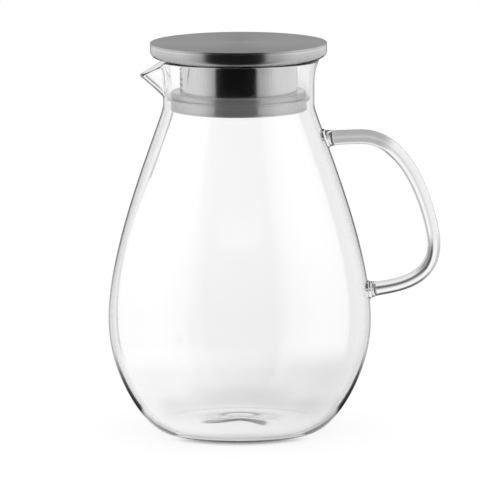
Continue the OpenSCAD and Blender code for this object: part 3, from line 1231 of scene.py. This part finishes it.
@dataclass
class SoftStudio:
    """The world: plain white in the picture, and a soft studio in gloss and glass.

    The studio has a striped backdrop that repeats all round in the glass, a tall white panel at either
    side and nothing in front. Its angles are in degrees, and a stripe is a pair of an angle and a grey.
    """

    lobe: float = 45.0
    front_dark: float = 0.99
    backdrop_top: float = 0.43
    overhead_grey: float = 0.5
    spread_grey: float = 0.85
    backdrop_stripes: Stripes = (
        (-22, 0.7), (-17, 0.7), (-15, 0.8), (-8.9, 0.84), (-8.3, 0.3), (-7.7, 0.3), (-7.2, 1.0),
        (-0.5, 1.0), (3.8, 0.94), (4.2, 0.78), (15, 0.78), (17, 0.7), (22, 0.7),
    )
    rod_stripes: Stripes = (
        (-70, 1.0), (-35, 0.92), (-1, 0.9), (5, 0.7), (10, 0.84), (14, 1.0),
        (23, 1.0), (41, 0.38), (55, 0.85),
    )

    def __post_init__(self) -> None:
        """Makes the world and finds each ray's angles, and whether it was shone back or bent before."""
        world = bpy.data.worlds.new("soft_studio")
        bpy.context.scene.world = world
        world.use_nodes = True
        world.cycles.sampling_method = "NONE"
        bench = Bench(world.node_tree)
        self.bench = bench
        x, y, z = bench.split(bench.place("Generated"))
        self.front = bench.maths("ARCTAN2", x, -y) * DEGREES
        self.behind = bench.maths("ARCTAN2", x, y) * DEGREES
        self.height = bench.maths("ARCSINE", z) * DEGREES
        self.shone = bench.ray("Glossy Depth") > 0.5
        self.bent = bench.ray("Transmission Depth") > 0.5

    def folded(self, width: float) -> Wire:
        """Angle from the middle of the nearest of the equal parts, each this wide, that lie all round."""
        return (self.bench.maths("FRACT", self.behind / width + 0.5) - 0.5) * width

    def around(self) -> Wire:
        """Finds the light from in front and from the sides.

        Returns:
            The grey.
        """
        fade, turned = self.bench.fade, abs(self.front)
        panel = 0.55 + 0.4 * fade(turned, 42, 85)
        gap = fade(self.front, -50, -42) * fade(self.front, 40, 32)
        down = fade(self.height, -30, -55) * fade(turned, 75, 45)
        return panel * (1 - self.front_dark * gap) * (1 - 0.9 * down)

    def backdrop(self) -> Wire:
        """Finds the light from behind: a striped strip, and plainer greys below and above it.

        Returns:
            The grey.
        """
        fade, height, shone = self.bench.fade, self.height, self.shone
        turn = self.folded(self.lobe).towards(self.behind, shone)
        neck = fade(height, -7.0, -6.5)
        lean = 1.9 * neck - 0.6 * self.bench.maths("MAXIMUM", height + 9.9, 0) * (1 - neck)
        leant = turn - lean * fade(turn, 0, -4)
        strip = self.bench.stripes(self.backdrop_stripes, leant, -self.lobe / 2, self.lobe / 2)
        strip = strip * (1.03 + 0.06 * fade(height, -10.0, -8.3))
        strip = self.bench.maths("MAXIMUM", strip, 0.8 * shone)
        away = abs(turn)
        aside = fade(away, 28, 25) * (1 - shone * self.bent)
        outer = fade(away, 9, 12) * aside
        far_out = fade(away, 19, 22) * aside
        low = fade(height, -13 - 0.5 * outer, -20 + 3.5 * outer)
        high = fade(height, -6 - 1.5 * far_out, 2 - 7 * far_out)
        deep = 4 * fade(height, -15.5, -19)
        edge = shone * fade(away - deep, 18.5, 15.5) * fade(height, 3, -2)
        tilted = height + 1.2 * fade(turn, 8, -8)
        level_band = fade(tilted, -17.0, -13.5) * fade(height, -5.5, -9.2)
        strip = strip * (1 - edge * (0.85 - 0.5 * level_band))
        below = (0.9 - 0.82 * outer) * (1 - 0.9 * edge)
        above = (self.backdrop_top + 0.5 * self.bent * shone).towards(0.6, far_out)
        return strip * (1 - low) * (1 - high) + below * low + above * high

    def build(self) -> None:
        """Joins the lights and sends them to the world."""
        bench = self.bench
        is_back = 1 - bench.fade(abs(self.behind), 27, 33) * self.shone
        level = self.around().towards(self.backdrop(), is_back)
        in_rod = (abs(bench.ray("Transmission Depth") - 2) < 0.5) * (1 - self.shone)
        rod_lines = bench.stripes(self.rod_stripes, self.folded(180), -90, 90)
        rod_lines = rod_lines * (1 - 0.8 * bench.fade(self.height, 20, 30))
        level = level.towards(rod_lines, in_rod)
        level = level.towards(self.overhead_grey, bench.fade(self.height, 50, 75))
        level = level.towards(self.spread_grey, bench.ray("Diffuse Depth") > 0.5)
        level = level.towards(1.0, bench.ray("Is Camera Ray"))
        background = bench.shader("Background", {"Color": bench.grey(level), "Strength": 1.0})
        bench.output(background, "OutputWorld")


@dataclass(frozen=True)
class StripedCard:
    """A card that stands behind a stretch of the handle, where only the rod shows it.

    Its ends are distances along the handle's line. A stripe is a pair of a distance in mm from that line,
    towards the outside of the loop, and a grey. Within the shares change of the card's length, its stripes
    turn into the far ones.
    """

    name: str
    ends: Span
    width: float
    stripes: Stripes
    far_stripes: Stripes
    change: Span = (0.42, 0.62)
    gap: float = 12 * MM
    steps: int = 24

    def mesh(self, handle: RodHandle) -> BMesh:
        """Lays the card along the handle.

        Args:
            handle: The handle, whose line the card follows.

        Returns:
            The mesh, with the distance across it and the share along it at each corner.
        """
        bm = bmesh.new()
        across = bm.verts.layers.float.new("across")
        along = bm.verts.layers.float.new("along")
        low, high = self.ends
        rungs = []
        for i in range(self.steps + 1):
            share = i / self.steps
            centre, way = handle.station(low + (high - low) * share)
            out = way.cross(Vector((0, 1, 0)))
            pair = []
            for side in (-self.width / 2, self.width / 2):
                vert = bm.verts.new(centre + side * out + Vector((0, self.gap, 0)))
                vert[across] = side
                vert[along] = share
                pair.append(vert)
            rungs.append(bm.edges.new(pair))
        for a, b in zip(rungs, rungs[1:]):
            bmesh.ops.bridge_loops(bm, edges=[a, b])
        return bm

    def build(self, handle: RodHandle) -> None:
        """Stands the card, which isn't part of the object, behind the handle.

        Args:
            handle: The handle.
        """
        material, bench = new_material(self.name)
        names = ("across", "along")
        layers = [bench.node("Attribute", {"attribute_name": name}) for name in names]
        offset, share = (bench.wire(layer, "Fac") for layer in layers)
        greys = []
        for stripes in (self.stripes, self.far_stripes):
            places = [(MM * place, grey) for place, grey in stripes]
            greys.append(bench.stripes(places, offset, -self.width / 2, self.width / 2))
        grey = greys[0].towards(greys[1], bench.fade(share, *self.change))
        glow = bench.shader("Emission", {"Color": bench.grey(grey), "Strength": 1.0})
        in_rod = (abs(bench.ray("Transmission Depth") - 2) < 0.5) * (bench.ray("Glossy Depth") < 0.5)
        soft_ends = bench.fade(share, 0, 0.04) * bench.fade(share, 1, 0.75)
        gone = bench.clear()
        bench.output(bench.mixed(in_rod * soft_ends, gone, glow))
        piece = placed(self.mesh(handle), self.name, material)
        for kind in ("camera", "diffuse", "glossy", "shadow"):
            setattr(piece, "visible_" + kind, False)


@dataclass
class PhotoCamera:
    """The camera, which stands where the photograph's did."""

    distance: float = 3.052
    height: float = 0.593
    pitch: float = 8.96
    roll: float = -0.25
    lens_px: float = 5418.0
    picture_px: float = 480.0
    centre_px: Span = (239.3, 235.6)
    sensor_mm: float = 36.0
    clip_end: float = 100.0

    def build(self) -> None:
        """Stands the camera in the scene."""
        data = bpy.data.cameras.new("photo_camera")
        data.sensor_width = self.sensor_mm
        data.lens = self.lens_px / self.picture_px * self.sensor_mm
        data.shift_x = 0.5 - self.centre_px[0] / self.picture_px
        data.shift_y = self.centre_px[1] / self.picture_px - 0.5
        data.clip_end = self.clip_end
        camera = bpy.data.objects.new("photo_camera", data)
        place = Matrix.Translation((0, -self.distance, self.height))
        tilt = Matrix.Rotation(math.radians(90 - self.pitch), 4, "X")
        roll = Matrix.Rotation(math.radians(self.roll), 4, "Z")
        camera.matrix_world = place @ tilt @ roll
        bpy.context.scene.collection.objects.link(camera)
        bpy.context.scene.camera = camera


def stand_cards(handle: RodHandle) -> None:
    """Stands cards behind the handle: dark at its welds, grey at the upper arm and striped at the lower.

    Args:
        handle: The handle.
    """
    grey = ((-4, 0.44), (-2.4, 0.5), (-1.7, 0.62), (-0.8, 0.48), (1.2, 0.48), (2.2, 0.6), (3.2, 0.85))
    striped = (
        (-2.4, 0.1), (-1.4, 1.0), (0.8, 1.0), (1.9, 0.35),
        (2.5, 0.06), (3.2, 0.4), (4.2, 1.0), (6, 0.8),
    )
    bent = ((-2.6, 0.6), (-1.8, 1.0), (0.6, 1.0), (1.3, 0.1), (2.2, 0.12), (3.2, 0.35), (6, 0.3), (9, 0.7))
    dark = ((-4, 0.12), (4, 0.12))
    end = handle.length
    narrow = 12 * MM
    wide = 40 * MM
    StripedCard("upper_weld_card", (0, 3 * MM), narrow, dark, dark).build(handle)
    StripedCard("lower_weld_card", (end, end - 3 * MM), narrow, dark, dark).build(handle)
    StripedCard("grey_card", (2 * MM, 42 * MM), wide, grey, grey).build(handle)
    StripedCard("striped_card", (end - 1 * MM, end - 57 * MM), wide, striped, bent).build(handle)


def main() -> None:
    """Builds the studio and every piece."""
    logging.basicConfig(level=logging.INFO, format="%(name)s: %(message)s")
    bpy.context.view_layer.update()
    PaleFloor().build()
    SoftStudio().build()
    PhotoCamera().build()
    bpy.context.scene.view_settings.view_transform = "Standard"
    body = GlassBody()
    body.build(PolishedGlass("clear_glass").build())
    handle = RodHandle(body)
    handle.build(PolishedGlass("rod_glass", painted_edge_grey=1.0).build())
    stand_cards(handle)
    lid = SteelLid()
    # Painted light and shade on the lid's side: a painted highlight along its top edge, painted shade that
    # darkens it lower down, and a lighter strip at the very bottom.
    painted_side_shades = ((0, 0.95), (0.4, 0.75), (1.5, 0.68), (3, 0.74), (4.5, 0.83), (5.8, 0.86), (6.6, 1.0))
    painted_light_tones = tuple((lid.under_z + MM * height, share) for height, share in painted_side_shades)
    side = TurnedSteel("brushed_side", 0.65, roughness=0.24, painted_light_tones=painted_light_tones)
    top = TurnedSteel("brushed_disc", 0.53, roughness=0.3, across=True)
    lid.build(side.build(), top.build())
    collar = PerforatedCollar()
    seal_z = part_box("seal_ring")[1].z
    # Painted light: behind the silicone ring, up to 2 mm under its top, the tube's steel is much lighter
    # than above it.
    painted_light_tones = ((seal_z - 2 * MM, 1.0), (seal_z, 0.73))
    tube = TurnedSteel("brushed_tube", 0.96, roughness=0.16, painted_light_tones=painted_light_tones, painted_shade_r=collar.radius)
    collar.build(tube.build())
    SiliconeRing().build(ClearSilicone("translucent_silicone").build())


if __name__ == "__main__":
    main()
